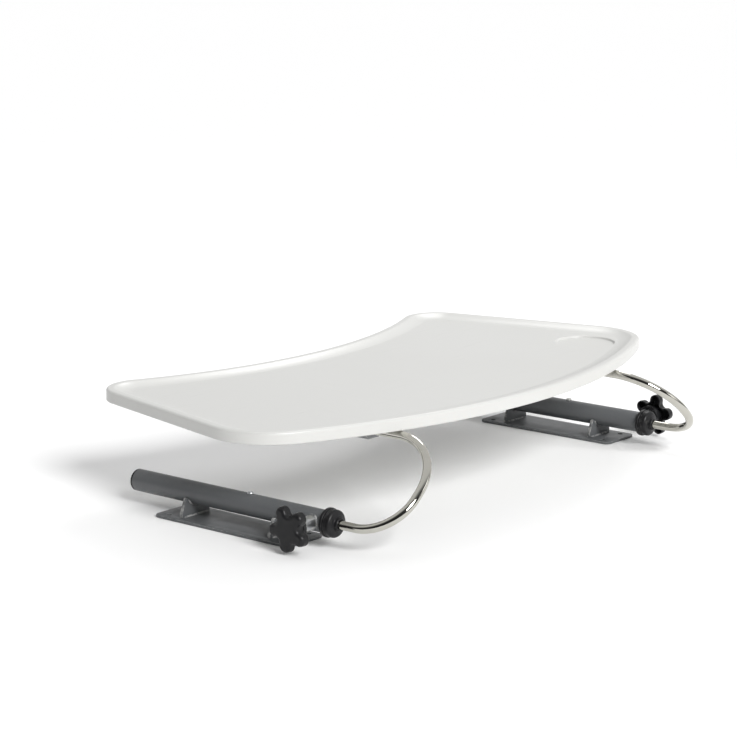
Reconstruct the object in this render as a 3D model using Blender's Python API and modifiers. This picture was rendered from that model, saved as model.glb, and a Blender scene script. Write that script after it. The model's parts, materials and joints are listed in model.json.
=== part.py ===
"""Overbed tray table carried on the two arms of a care chair.

A crescent tray sits on two bent chromed rods. Each rod plugs forward-facing into a socket tube that
is hidden in an armrest, and a star knob on the arm's outer side clamps it there.

Frame: metres, +Z up, -Y is the front of the chair, +X the occupant's left. Z = 0 is the underside of
the mounting plates, X = 0 the middle plane and Y = 0 the middle of the whole depth.
"""
import math

import bmesh
import bpy
from mathutils import Matrix, Vector

MM = 0.001
GAP = 0.3 * MM                      # kept between pieces that touch

# Whole layout
FRONT_EDGE_Y = -179.5 * MM          # middle of the tray's front edge
SOCKET_HALF_SPACING = 300 * MM      # socket axes, each side of the middle plane
SOCKET_HEIGHT = 28 * MM             # socket axis above the plates' undersides
RIM_TOP = 128 * MM
ARM_FACE_Y = FRONT_EDGE_Y + 54 * MM     # front face of the armrest, where the bush flange bears
KNOB_Y = FRONT_EDGE_Y + 67 * MM

# Tray outline
TRAY_DEPTH = 336 * MM               # front to back along the middle
FRONT_RADIUS = 720 * MM
BACK_RADIUS = 575 * MM
FRONT_WIDTH = 752 * MM              # between the front corners before rounding
BACK_WIDTH = 598 * MM
FRONT_CORNER = 75 * MM
BACK_CORNER = 45 * MM

# Tray section
RIM_HEIGHT = 14 * MM
WALL = 3.5 * MM
WELL_DEPTH = 5 * MM
RIM_LAND = 13 * MM                  # offset of the rim's inner top edge
FLOOR_OFFSET = 31 * MM              # offset of the line where the slope meets the floor
FLOOR_TOP = RIM_TOP - WELL_DEPTH
FLOOR_UNDERSIDE = FLOOR_TOP - WALL
CUP_CENTRE = (284 * MM, FRONT_EDGE_Y + 131 * MM)
CUP_RADIUS = 37 * MM
CUP_DEPTH = 3 * MM

# Rods
ROD_RADIUS = 5 * MM
LOWER_BEND = 50 * MM
UPPER_BEND = 68 * MM
BEND_LINK = 7 * MM                  # straight run between the two bends
BEND_TILT = math.radians(40)        # the bend's plane above the horizontal
BEND_START_Y = FRONT_EDGE_Y + 16.5 * MM
LOWER_END_Y = FRONT_EDGE_Y + 288 * MM
UPPER_END_Y = FRONT_EDGE_Y + 322 * MM
BEND_SPAN = LOWER_BEND + BEND_LINK + UPPER_BEND
UPPER_LEG_X = SOCKET_HALF_SPACING - BEND_SPAN * math.cos(BEND_TILT)
UPPER_LEG_Z = SOCKET_HEIGHT + BEND_SPAN * math.sin(BEND_TILT)

# Saddles that hold the rods under the tray
SADDLE_YS = {"front": FRONT_EDGE_Y + 82 * MM, "rear": FRONT_EDGE_Y + 284 * MM}
SADDLE_HALF_WIDTH = 28 * MM
SADDLE_LENGTH = 24 * MM
SADDLE_TOP = UPPER_LEG_Z + ROD_RADIUS
SADDLE_SCREW_X = 20 * MM
SCREW_HOLE = 2.5 * MM
PAD_UNDERSIDE = SADDLE_TOP + GAP

# Sockets
TUBE_RADIUS = 12.5 * MM
TUBE_BORE = 11 * MM
TUBE_LENGTH = 280 * MM
BUSH_BORE = ROD_RADIUS + GAP
BUSH_BODY = TUBE_BORE - GAP
BUSH_LENGTH = 30 * MM
REAR_BUSH_Y = FRONT_EDGE_Y + 150 * MM
PLATE_SIZE = (60 * MM, 200 * MM, 3 * MM)
PLATE_Y = FRONT_EDGE_Y + 184 * MM
PLATE_HOLES = (20 * MM, 85 * MM)    # half spacings of the screw holes
PLATE_HOLE_RADIUS = 3.25 * MM
CRADLE_REACH = 65 * MM              # each cradle, before and behind the plate's middle

# Clamp: distances outwards from the socket axis
PAD_REACH = (5.3 * MM, 8.3 * MM)
STUD_REACH = (8.6 * MM, 50 * MM)
BOSS_END = 38 * MM
COLLAR_REACH = (34 * MM, 39 * MM)
HUB_START = 40 * MM
STAR_REACH = (43.5 * MM, 55 * MM)
STUD_RADIUS = 4 * MM

# Star knob outline
LOBES = 5
LOBE_RADIUS = 7.5 * MM
LOBE_CENTRE = 18.5 * MM
VALLEY_REACH = 16 * MM
KNOB_TURN = {"right": math.radians(63), "left": math.radians(27)}   # first lobe, from +Y towards +Z

SIDES = {"right": -1, "left": 1}    # the occupant's right arm is at -X
ROUND = 24                          # sides of a small turned piece


# ---------------------------------------------------------------- scene and small helpers

def clear_scene():
    for item in list(bpy.data.objects):
        bpy.data.objects.remove(item, do_unlink=True)


def new_collection(name):
    collection = bpy.data.collections.new(name)
    bpy.context.scene.collection.children.link(collection)
    return collection


def make_material(name, colour, roughness, metallic=0.0):
    material = bpy.data.materials.new(name)
    material.use_nodes = True
    shader = material.node_tree.nodes["Principled BSDF"]
    shader.inputs["Base Color"].default_value = (*colour, 1.0)
    shader.inputs["Roughness"].default_value = roughness
    shader.inputs["Metallic"].default_value = metallic
    return material


clear_scene()
PARTS = new_collection("overbed_table")
CUTTERS = new_collection("cutters")

WHITE_PLASTIC = make_material("white_plastic", (0.86, 0.86, 0.84), 0.35)
CHROME = make_material("chrome", (0.78, 0.77, 0.74), 0.12, 1.0)
BLACK_PLASTIC = make_material("black_plastic", (0.02, 0.02, 0.022), 0.42)
GREY_NYLON = make_material("grey_nylon", (0.30, 0.31, 0.32), 0.5)
COATED_STEEL = make_material("coated_steel", (0.12, 0.125, 0.13), 0.5, 0.3)
ZINC_STEEL = make_material("zinc_steel", (0.62, 0.63, 0.64), 0.32, 1.0)
BRASS = make_material("brass", (0.71, 0.53, 0.24), 0.3, 1.0)
BLACK_VINYL = make_material("black_vinyl", (0.03, 0.03, 0.03), 0.6)


def add_part(name, data, material, location=(0, 0, 0), rotation=(0, 0, 0)):
    """Put a mesh or curve in the parts collection as one named piece."""
    part = bpy.data.objects.new(name, data)
    part.location = location
    part.rotation_euler = rotation
    data.materials.append(material)
    PARTS.objects.link(part)
    return part


def add_cutter(name, mesh, location=(0, 0, 0), rotation=(0, 0, 0)):
    cutter = bpy.data.objects.new(name, mesh)
    cutter.location = location
    cutter.rotation_euler = rotation
    cutter.hide_render = True
    cutter.display_type = "WIRE"
    CUTTERS.objects.link(cutter)
    return cutter


def boolean(part, tool, operation="DIFFERENCE"):
    modifier = part.modifiers.new(tool.name, "BOOLEAN")
    modifier.operation = operation
    modifier.object = tool


def smooth(mesh, angle=30):
    mesh.shade_smooth()
    mesh.set_sharp_from_angle(angle=math.radians(angle))


def mesh_from(build, name):
    """Run build on an empty bmesh and return the mesh with its faces pointing out."""
    bm = bmesh.new()
    build(bm)
    bmesh.ops.recalc_face_normals(bm, faces=bm.faces)
    mesh = bpy.data.meshes.new(name)
    bm.to_mesh(mesh)
    bm.free()
    smooth(mesh)
    return mesh


def box_mesh(name, size):
    def build(bm):
        bmesh.ops.create_cube(bm, size=1.0, matrix=Matrix.Diagonal((*size, 1.0)))
    return mesh_from(build, name)


def rod_mesh(name, radius, length, sides=ROUND, end_radius=None):
    """A cylinder or cone on Z, centred on the origin."""
    def build(bm):
        top = radius if end_radius is None else end_radius
        bmesh.ops.create_cone(bm, cap_ends=True, segments=sides, radius1=radius, radius2=top,
                              depth=length)
    return mesh_from(build, name)


def turned(name, profile, material, location, rotation, steps=ROUND):
    """Screw a profile of (radius, height) points round Z; its outer side runs top to bottom."""
    mesh = bpy.data.meshes.new(name)
    loop = [(i, (i + 1) % len(profile)) for i in range(len(profile))]
    if profile[0][0] == 0 and profile[-1][0] == 0:
        loop.pop()
    mesh.from_pydata([(radius, 0, height) for radius, height in profile], loop, [])
    part = add_part(name, mesh, material, location, rotation)
    screw = part.modifiers.new("Turn", "SCREW")
    screw.axis = "Z"
    screw.steps = steps
    screw.render_steps = steps
    screw.use_merge_vertices = True
    screw.merge_threshold = 0.00001
    screw.use_smooth_shade = False
    return part


def extruded(name, outline, depth, material, location, rotation, holes=()):
    """A flat outline of (x, y) points, filled between its faces, with round holes."""
    curve = bpy.data.curves.new(name, "CURVE")
    curve.dimensions = "2D"
    curve.fill_mode = "BOTH"
    curve.extrude = depth / 2
    loops = [outline] + [arc(centre, radius, 0, 2 * math.pi, 16)[:-1] for centre, radius in holes]
    for points in loops:
        spline = curve.splines.new("POLY")
        spline.points.add(len(points) - 1)
        spline.use_cyclic_u = True
        for point, (x, y) in zip(spline.points, points):
            point.co = (x, y, 0, 1)
    return add_part(name, curve, material, location, rotation)


def arc(centre, radius, start, end, steps):
    """Points on a circular arc, both ends included."""
    angles = [start + (end - start) * i / steps for i in range(steps + 1)]
    return [(centre[0] + radius * math.cos(a), centre[1] + radius * math.sin(a)) for a in angles]


FACE_FRONT = (math.radians(90), 0, 0)       # turns a piece's +Z to -Y


def face_out(side):
    """Turns a piece's +Z to the outside of the arm on that side."""
    return (0, math.radians(90) * side, 0)


# ---------------------------------------------------------------- tray

def corner_centre(line_point, line_direction, circle_y, distance):
    """Where a line meets the circle of that radius round (0, circle_y), on the +X side."""
    offset = line_point - Vector((0, circle_y))
    along = offset.dot(line_direction)
    root = math.sqrt(along ** 2 - offset.length_squared + distance ** 2)
    first = line_point + line_direction * (-along - root)
    second = line_point + line_direction * (-along + root)
    return min(first, second, key=lambda point: (point - line_point).length)


def tray_ring(offset):
    """The tray's outline moved inwards by offset, from the front middle round by +X."""
    front_y = FRONT_EDGE_Y + FRONT_RADIUS
    back_y = FRONT_EDGE_Y + TRAY_DEPTH + BACK_RADIUS
    half_front, half_back = FRONT_WIDTH / 2, BACK_WIDTH / 2
    front = Vector((half_front, front_y - math.sqrt(FRONT_RADIUS ** 2 - half_front ** 2)))
    back = Vector((half_back, back_y - math.sqrt(BACK_RADIUS ** 2 - half_back ** 2)))
    side = (back - front).normalized()
    outwards = Vector((side.y, -side.x))
    front_corner = corner_centre(front - outwards * FRONT_CORNER, side, front_y,
                                 FRONT_RADIUS - FRONT_CORNER)
    back_corner = corner_centre(back - outwards * BACK_CORNER, side, back_y,
                                BACK_RADIUS + BACK_CORNER)
    side_angle = math.atan2(outwards.y, outwards.x)
    front_angle = math.atan2(front_corner.y - front_y, front_corner.x)
    back_angle = math.atan2(back_corner.y - back_y, back_corner.x)
    half = arc((0, front_y), FRONT_RADIUS - offset, -math.pi / 2, front_angle, 14)
    half += arc(front_corner, FRONT_CORNER - offset, front_angle, side_angle, 8)[1:]
    half += arc(back_corner, BACK_CORNER - offset, side_angle, back_angle + math.pi, 8)
    half += arc((0, back_y), BACK_RADIUS + offset, back_angle, -math.pi / 2, 12)[1:]
    return half + [(-x, y) for x, y in half[-2:0:-1]]


def tray_section():
    """(offset, height) stations from under the floor, round the rim, to the floor's top."""
    bottom = RIM_TOP - RIM_HEIGHT
    under = RIM_TOP - WALL
    lip = 2.4 * MM
    return [
        (FLOOR_OFFSET + 1 * MM, FLOOR_UNDERSIDE),
        (RIM_LAND, under),
        (WALL, under),
        (WALL, bottom),
        (0, bottom),
        (0, RIM_TOP - lip),
        (0.3 * lip, RIM_TOP - 0.3 * lip),
        (lip, RIM_TOP),
        (RIM_LAND, RIM_TOP),
        (RIM_LAND + 3 * MM, RIM_TOP - 0.5 * MM),
        (FLOOR_OFFSET, FLOOR_TOP),
    ]


def build_tray(bm):
    rings = []
    for offset, height in tray_section():
        rings.append([bm.verts.new((x, y, height)) for x, y in tray_ring(offset)])
    for lower, upper in zip(rings, rings[1:]):
        count = len(lower)
        for i in range(count):
            j = (i + 1) % count
            bm.faces.new((lower[i], lower[j], upper[j], upper[i]))
    bm.faces.new(rings[0][::-1])
    bm.faces.new(rings[-1])


def make_tray():
    tray = add_part("tray_top", mesh_from(build_tray, "tray_top"), WHITE_PLASTIC)
    pad_height = FLOOR_UNDERSIDE - PAD_UNDERSIDE
    overlap = 1 * MM
    pad_size = (2 * SADDLE_HALF_WIDTH + 6 * MM, SADDLE_LENGTH + 6 * MM, pad_height + overlap)
    pad_mesh = box_mesh("saddle_pad", pad_size)
    pad_z = PAD_UNDERSIDE + (pad_height + overlap) / 2
    cup_x, cup_y = CUP_CENTRE
    under_cup = add_cutter("under_cup", rod_mesh("under_cup", CUP_RADIUS + 1 * MM, CUP_DEPTH + overlap, 48,
                                                 CUP_RADIUS + 4 * MM),
                           (cup_x, cup_y, FLOOR_UNDERSIDE + (overlap - CUP_DEPTH) / 2))
    boolean(tray, under_cup, "UNION")
    for side, sign in SIDES.items():
        for place, y in SADDLE_YS.items():
            pad = add_cutter(f"pad_{side}_{place}", pad_mesh, (sign * UPPER_LEG_X, y, pad_z))
            boolean(tray, pad, "UNION")
    cup_lip = 2 * MM
    cup = add_cutter("cup", rod_mesh("cup", CUP_RADIUS - 1.5 * MM, CUP_DEPTH + cup_lip, 48,
                                     CUP_RADIUS + 1 * MM),
                     (cup_x, cup_y, FLOOR_TOP + (cup_lip - CUP_DEPTH) / 2))
    boolean(tray, cup)
    hole_mesh = rod_mesh("blind_hole", SCREW_HOLE, 8 * MM, 12)
    for side, sign in SIDES.items():
        for place, y in SADDLE_YS.items():
            for end in (-1, 1):
                x = sign * UPPER_LEG_X + end * SADDLE_SCREW_X
                hole = add_cutter(f"hole_{side}_{place}_{end}", hole_mesh, (x, y, PAD_UNDERSIDE + 3 * MM))
                boolean(tray, hole)


# ---------------------------------------------------------------- rods and their saddles

def rod_path():
    """Centreline points (reach, y): reach is measured from the socket axis in the bend's tilted plane."""
    front_y = BEND_START_Y - LOWER_BEND
    lower = arc((LOWER_BEND, BEND_START_Y), LOWER_BEND, math.pi, 1.5 * math.pi, 10)
    upper = arc((BEND_SPAN - UPPER_BEND, front_y + UPPER_BEND), UPPER_BEND, -0.5 * math.pi, 0, 12)
    return [(0, LOWER_END_Y)] + lower + upper + [(BEND_SPAN, UPPER_END_Y)]


def make_rod(side, sign):
    curve = bpy.data.curves.new(f"rod_{side}", "CURVE")
    curve.dimensions = "3D"
    curve.bevel_depth = ROD_RADIUS
    curve.bevel_resolution = 4
    curve.use_fill_caps = True
    points = rod_path()
    spline = curve.splines.new("POLY")
    spline.points.add(len(points) - 1)
    for point, (reach, y) in zip(spline.points, points):
        x = sign * (SOCKET_HALF_SPACING - reach * math.cos(BEND_TILT))
        z = SOCKET_HEIGHT + reach * math.sin(BEND_TILT)
        point.co = (x, y, z, 1)
    add_part(f"rod_{side}", curve, CHROME)


def make_rod_cap(side, sign):
    """Vinyl cap pushed over the rod's rear end under the tray."""
    inner, outer, sleeve, end = ROD_RADIUS + GAP, 6.2 * MM, 12 * MM, 1.8 * MM
    profile = [(0, 0), (inner, 0), (inner, sleeve), (outer, sleeve), (outer, 1 * MM - end),
               (outer - 1 * MM, -end), (0, -end)]
    location = (sign * UPPER_LEG_X, UPPER_END_Y + GAP, UPPER_LEG_Z)
    turned(f"rod_end_cap_{side}", profile, BLACK_VINYL, location, FACE_FRONT, 16)


def saddle_outline():
    """Section of a saddle, seen along the rod: flat flanges and a hump under the rod's channel."""
    half, flange, hump = SADDLE_HALF_WIDTH, 7 * MM, 14 * MM
    channel = ROD_RADIUS + GAP
    inner = arc((0, -ROD_RADIUS), channel, math.pi, 2 * math.pi, 10)
    outer = [(half, 0), (half, -flange + 1.5 * MM), (half - 1.5 * MM, -flange), (14 * MM, -flange),
             (9.5 * MM, -hump + 1 * MM), (8 * MM, -hump)]
    mirrored = [(-x, y) for x, y in outer[::-1]]
    return [(-channel, 0)] + inner + [(channel, 0)] + outer + mirrored


def make_saddle(side, sign, place, y):
    outline = saddle_outline()

    def build(bm):
        face = bm.faces.new([bm.verts.new((x, -SADDLE_LENGTH / 2, z)) for x, z in outline])
        swept = bmesh.ops.extrude_face_region(bm, geom=[face])
        moved = [item for item in swept["geom"] if isinstance(item, bmesh.types.BMVert)]
        bmesh.ops.translate(bm, verts=moved, vec=(0, SADDLE_LENGTH, 0))

    name = f"rod_saddle_{side}_{place}"
    location = (sign * UPPER_LEG_X, y, SADDLE_TOP)
    saddle = add_part(name, mesh_from(build, name), GREY_NYLON, location)
    for end, label in ((-1, "a"), (1, "b")):
        x = location[0] + end * SADDLE_SCREW_X
        hole = add_cutter(f"{name}_hole_{label}", rod_mesh("saddle_hole", SCREW_HOLE, 20 * MM, 16),
                          (x, y, SADDLE_TOP - 2 * MM))
        sink = add_cutter(f"{name}_sink_{label}", rod_mesh("saddle_sink", 5.6 * MM, 3.4 * MM, 16, SCREW_HOLE),
                          (x, y, SADDLE_TOP - 5.8 * MM))
        boolean(saddle, hole)
        boolean(saddle, sink)
        make_saddle_screw(f"saddle_screw_{side}_{place}_{label}", (x, y, SADDLE_TOP - 6.9 * MM))


def make_saddle_screw(name, location):
    """Countersunk screw, head down, its point in the tray's pad."""
    head, shank, sink, length = 4.5 * MM, 2.1 * MM, 2.6 * MM, 11.5 * MM
    profile = [(0, length), (shank - 0.9 * MM, length), (shank, length - 1.2 * MM), (shank, sink),
               (head, 0.4 * MM), (head, 0), (0, 0)]
    turned(name, profile, ZINC_STEEL, location, (0, 0, 0), 16)


# ---------------------------------------------------------------- sockets in the armrests

def make_socket_tube(side, x):
    inner, outer, length = TUBE_BORE, TUBE_RADIUS, TUBE_LENGTH
    profile = [(inner, 0), (outer, 0), (outer, -length), (inner, -length)]
    return turned(f"socket_tube_{side}", profile, COATED_STEEL, (x, ARM_FACE_Y + GAP, SOCKET_HEIGHT),
                  FACE_FRONT, 32)


def stud_hole(name, x):
    """Cutter for the stud: from the socket axis outwards."""
    sign = 1 if x > 0 else -1
    length = 24 * MM
    return add_cutter(name, rod_mesh(name, STUD_RADIUS + GAP, length, 16),
                      (x + sign * length / 2, KNOB_Y, SOCKET_HEIGHT), face_out(sign))


def make_front_bush(side, x):
    """Flanged guide with a domed cap and a nose round the rod; the part that shows on the arm."""
    flange, dome, nose = 16.2 * MM, 15.2 * MM, 7.4 * MM
    profile = [
        (BUSH_BORE, 18 * MM), (nose - 1.2 * MM, 18 * MM), (nose, 16.8 * MM), (nose, 13.7 * MM),
        (12 * MM, 12.9 * MM), (dome - 1 * MM, 12 * MM), (dome, 9.6 * MM), (dome, 4.4 * MM),
        (flange, 3.6 * MM), (flange, 0.6 * MM), (flange - 0.6 * MM, 0),
        (BUSH_BODY, 0), (BUSH_BODY, -BUSH_LENGTH), (BUSH_BORE, -BUSH_LENGTH),
    ]
    return turned(f"front_bush_{side}", profile, BLACK_PLASTIC, (x, ARM_FACE_Y, SOCKET_HEIGHT),
                  FACE_FRONT, 32)


def make_rear_bush(side, x):
    profile = [(BUSH_BORE, 0), (BUSH_BODY, 0), (BUSH_BODY, -BUSH_LENGTH), (BUSH_BORE, -BUSH_LENGTH)]
    return turned(f"rear_bush_{side}", profile, BLACK_PLASTIC, (x, REAR_BUSH_Y, SOCKET_HEIGHT),
                  FACE_FRONT, 32)


def make_bush_screw(side, x, tube, bush):
    """Pan-head screw through the tube's top wall into the rear bush."""
    y = REAR_BUSH_Y + BUSH_LENGTH / 2
    thread, head = 1.7 * MM, 3.6 * MM
    crown = TUBE_RADIUS + GAP
    profile = [(0, crown + 2.2 * MM), (head - 1.2 * MM, crown + 2.2 * MM), (head, crown + 1.2 * MM),
               (head, crown), (thread, crown), (thread, 7 * MM), (0, 7 * MM)]
    turned(f"rear_bush_screw_{side}", profile, ZINC_STEEL, (x, y, SOCKET_HEIGHT), (0, 0, 0), 16)
    hole = add_cutter(f"bush_screw_hole_{side}", rod_mesh("bush_screw_hole", thread + GAP, 8 * MM, 16),
                      (x, y, SOCKET_HEIGHT + 10.6 * MM))
    boolean(tube, hole)
    boolean(bush, hole)


def make_tube_plug(side, x):
    """Push-in plug that closes the tube's rear end."""
    insert = 14 * MM
    profile = [(0, insert), (BUSH_BODY - 1 * MM, insert), (BUSH_BODY, insert - 2 * MM), (BUSH_BODY, 0),
               (TUBE_RADIUS, 0), (TUBE_RADIUS, -2 * MM), (TUBE_RADIUS - 1 * MM, -3 * MM), (0, -3 * MM)]
    location = (x, ARM_FACE_Y + TUBE_LENGTH + 2 * GAP, SOCKET_HEIGHT)
    turned(f"tube_plug_{side}", profile, BLACK_PLASTIC, location, FACE_FRONT)


def make_plate(side, x):
    width, length, thickness = PLATE_SIZE
    corner = 8 * MM
    outline = []
    for quarter, (sx, sy) in enumerate(((1, 1), (-1, 1), (-1, -1), (1, -1))):
        centre = (sx * (width / 2 - corner), sy * (length / 2 - corner))
        outline += arc(centre, corner, quarter * math.pi / 2, (quarter + 1) * math.pi / 2, 5)
    across, along = PLATE_HOLES
    holes = [((sx * across, sy * along), PLATE_HOLE_RADIUS) for sx in (-1, 1) for sy in (-1, 1)]
    extruded(f"mounting_plate_{side}", outline, thickness, COATED_STEEL, (x, PLATE_Y, thickness / 2),
             (0, 0, 0), holes)


def make_cradle(side, x, place, y):
    """Upright web between plate and tube, hollowed to the tube."""
    foot, shoulder = 22 * MM, 15 * MM
    base = PLATE_SIZE[2] + GAP - SOCKET_HEIGHT
    top = -4 * MM
    seat = TUBE_RADIUS + GAP
    start = math.pi + math.asin(-top / seat)
    outline = [(-foot, base), (foot, base), (foot, base + 4 * MM), (shoulder, top)]
    outline += arc((0, 0), seat, 3 * math.pi - start, start, 12)
    outline += [(-shoulder, top), (-foot, base + 4 * MM)]
    extruded(f"tube_cradle_{side}_{place}", outline, 4 * MM, COATED_STEEL, (x, y, SOCKET_HEIGHT), FACE_FRONT)


def make_clamp(side, sign, x, tube, bush):
    """Threaded boss, collar, pressure pad, stud and star knob on the arm's outer side."""
    outwards = face_out(sign)
    centre = (x, KNOB_Y, SOCKET_HEIGHT)
    boolean(tube, stud_hole(f"tube_stud_hole_{side}", x))
    boolean(bush, stud_hole(f"bush_stud_hole_{side}", x))

    bore = STUD_RADIUS + GAP
    root = 9 * MM
    boss = turned(f"clamp_boss_{side}", [(bore, BOSS_END), (8 * MM, BOSS_END), (8 * MM, root), (bore, root)],
                  ZINC_STEEL, centre, outwards)
    around_tube = add_cutter(f"around_tube_{side}", rod_mesh("around_tube", TUBE_RADIUS + GAP, 60 * MM, 48),
                             centre, FACE_FRONT)
    boolean(boss, around_tube)

    start, end = COLLAR_REACH
    inner, outer = 8 * MM + GAP, 13 * MM
    turned(f"knob_collar_{side}", [(inner, end), (outer - 1 * MM, end), (outer, end - 1 * MM), (outer, start),
                                   (inner, start)], BLACK_PLASTIC, centre, outwards)

    start, end = PAD_REACH
    turned(f"pressure_pad_{side}", [(0, end), (3.4 * MM, end), (3.4 * MM, start), (0, start)], BRASS,
           centre, outwards, 16)

    start, end = STUD_REACH
    tip = 1 * MM
    turned(f"knob_stud_{side}", [(0, end), (STUD_RADIUS, end), (STUD_RADIUS, start + tip),
                                 (STUD_RADIUS - tip, start), (0, start)], ZINC_STEEL, centre, outwards)
    make_knob(side, sign, centre)


def star_outline(first_angle):
    """Round lobes joined by round valleys, each tangent to its neighbours."""
    half_pitch = math.pi / LOBES
    inset = LOBE_RADIUS - VALLEY_REACH
    valley_centre = (LOBE_CENTRE ** 2 - inset ** 2) / (2 * (LOBE_CENTRE * math.cos(half_pitch) + inset))
    valley_radius = valley_centre - VALLEY_REACH
    lobe = Vector((LOBE_CENTRE, 0))
    valley = Vector((valley_centre * math.cos(half_pitch), valley_centre * math.sin(half_pitch)))
    lean = math.atan2(valley.y - lobe.y, valley.x - lobe.x)
    points = []
    for i in range(LOBES):
        turn = first_angle + 2 * half_pitch * i
        lobe_at = (LOBE_CENTRE * math.cos(turn), LOBE_CENTRE * math.sin(turn))
        points += arc(lobe_at, LOBE_RADIUS, turn - lean, turn + lean, 8)
        middle = turn + half_pitch
        valley_at = (valley_centre * math.cos(middle), valley_centre * math.sin(middle))
        sweep = math.pi + lean - half_pitch
        points += arc(valley_at, valley_radius, middle + sweep, middle + 2 * math.pi - sweep, 4)[1:-1]
    return points


def make_knob(side, sign, centre):
    start, end = STAR_REACH
    depth = end - start

    def build(bm):
        outline = star_outline(0.0)
        face = bm.faces.new([bm.verts.new((px, py, start)) for px, py in outline])
        swept = bmesh.ops.extrude_face_region(bm, geom=[face])
        moved = [item for item in swept["geom"] if isinstance(item, bmesh.types.BMVert)]
        bmesh.ops.translate(bm, verts=moved, vec=(0, 0, depth))
        bmesh.ops.recalc_face_normals(bm, faces=bm.faces)
        rims = [edge for edge in bm.edges if abs(edge.verts[0].co.z - edge.verts[1].co.z) < 0.1 * MM]
        bmesh.ops.bevel(bm, geom=rims, offset=2.4 * MM, segments=2, profile=0.5, affect="EDGES",
                        material=-1)

    turn = KNOB_TURN[side]
    # face_out turns the piece's +X up on the right arm and down on the left one; +Y stays +Y.
    spin = math.radians(90) + sign * turn
    name = f"knob_grip_{side}"
    matrix_spin = Matrix.Rotation(spin, 4, "Z")
    mesh = mesh_from(build, name)
    mesh.transform(matrix_spin)
    grip = add_part(name, mesh, BLACK_PLASTIC, centre, face_out(sign))
    hub_length = start + 2 * MM - HUB_START
    hub = add_cutter(f"knob_hub_{side}", rod_mesh("knob_hub", 10.5 * MM, hub_length, 32),
                     (centre[0] + sign * (HUB_START + hub_length / 2), centre[1], centre[2]), face_out(sign))
    boolean(grip, hub, "UNION")
    bore_end = STUD_REACH[1] + GAP
    bore_length = bore_end - HUB_START + 5 * MM
    bore = add_cutter(f"knob_bore_{side}", rod_mesh("knob_bore", STUD_RADIUS + GAP, bore_length, 24),
                      (centre[0] + sign * (bore_end - bore_length / 2), centre[1], centre[2]), face_out(sign))
    boolean(grip, bore)


# ---------------------------------------------------------------- assembly

def make_side(side, sign):
    x = sign * SOCKET_HALF_SPACING
    make_rod(side, sign)
    make_rod_cap(side, sign)
    for place, y in SADDLE_YS.items():
        make_saddle(side, sign, place, y)
    tube = make_socket_tube(side, x)
    front_bush = make_front_bush(side, x)
    rear_bush = make_rear_bush(side, x)
    make_bush_screw(side, x, tube, rear_bush)
    make_tube_plug(side, x)
    make_plate(side, x)
    make_cradle(side, x, "front", PLATE_Y - CRADLE_REACH)
    make_cradle(side, x, "rear", PLATE_Y + CRADLE_REACH)
    make_clamp(side, sign, x, tube, front_bush)


make_tray()
for side_name, side_sign in SIDES.items():
    make_side(side_name, side_sign)
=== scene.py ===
"""Looks of the overbed tray table: a crescent tray on two bent chromed rods that plug into armrests.

Everything is in metres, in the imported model's frame: +X is the seated person's left, -Y the front, +Z up.
Lengths are written in millimetres times MM.
"""
import json
import math

import bmesh
import bpy
from mathutils import Matrix, Vector

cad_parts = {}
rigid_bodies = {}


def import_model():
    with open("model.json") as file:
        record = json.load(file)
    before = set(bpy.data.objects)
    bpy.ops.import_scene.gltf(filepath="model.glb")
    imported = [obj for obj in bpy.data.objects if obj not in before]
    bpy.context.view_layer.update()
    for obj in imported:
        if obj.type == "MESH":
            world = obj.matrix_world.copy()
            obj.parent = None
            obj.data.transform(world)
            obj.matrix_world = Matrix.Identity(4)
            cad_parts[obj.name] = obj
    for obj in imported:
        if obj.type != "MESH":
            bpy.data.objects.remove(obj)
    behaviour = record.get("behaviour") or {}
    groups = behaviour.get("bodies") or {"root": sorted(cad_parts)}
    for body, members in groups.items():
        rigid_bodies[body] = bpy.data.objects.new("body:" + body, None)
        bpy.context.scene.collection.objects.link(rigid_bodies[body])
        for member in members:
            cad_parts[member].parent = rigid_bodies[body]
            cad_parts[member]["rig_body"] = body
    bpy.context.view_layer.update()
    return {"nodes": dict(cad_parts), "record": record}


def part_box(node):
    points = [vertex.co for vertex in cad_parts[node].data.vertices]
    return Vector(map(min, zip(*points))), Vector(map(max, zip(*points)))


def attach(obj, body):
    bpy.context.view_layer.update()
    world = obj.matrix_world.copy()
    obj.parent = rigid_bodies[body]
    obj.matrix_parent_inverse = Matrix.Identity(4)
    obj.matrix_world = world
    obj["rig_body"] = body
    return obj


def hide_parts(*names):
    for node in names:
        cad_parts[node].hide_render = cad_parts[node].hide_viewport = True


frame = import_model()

MM = 0.001
GAP = 0.3 * MM                      # kept between pieces that touch
WELD = 0.004 * MM                   # doubles closer than this are merged
SPLIT = 0.1 * MM                    # first wall between two faces that part from each other
CREASE = 35                         # degrees; edges sharper than this aren't shaded smooth
MIX_A, MIX_B, MIX_RESULT = 6, 7, 2  # the colour sockets of a Mix node
SIDES = {"right": -1, "left": 1}    # the seated person's right is at -X


def middle(node):
    low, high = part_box(node)
    return (low + high) / 2


# Places, from the frame
TRAY_LOW, TRAY_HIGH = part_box("tray_top")
FRONT_EDGE_Y = TRAY_LOW.y
RIM_TOP = TRAY_HIGH.z
RIM_FOOT = RIM_TOP - 14 * MM
FLOOR_TOP = RIM_TOP - 5 * MM
SOCKET_X = middle("socket_tube_left").x
SOCKET_Z = middle("socket_tube_left").z
ARM_FACE_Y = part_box("socket_tube_left")[0].y - GAP
TUBE_END_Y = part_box("socket_tube_left")[1].y
KNOB_Y = middle("knob_stud_left").y
ROD_END_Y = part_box("rod_left")[1].y
SADDLE_X = middle("rod_saddle_left_front").x
SADDLE_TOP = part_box("rod_saddle_left_front")[1].z
SADDLE_SCREW_SPREAD = 20 * MM       # from a saddle's middle to each of its screws

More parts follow.
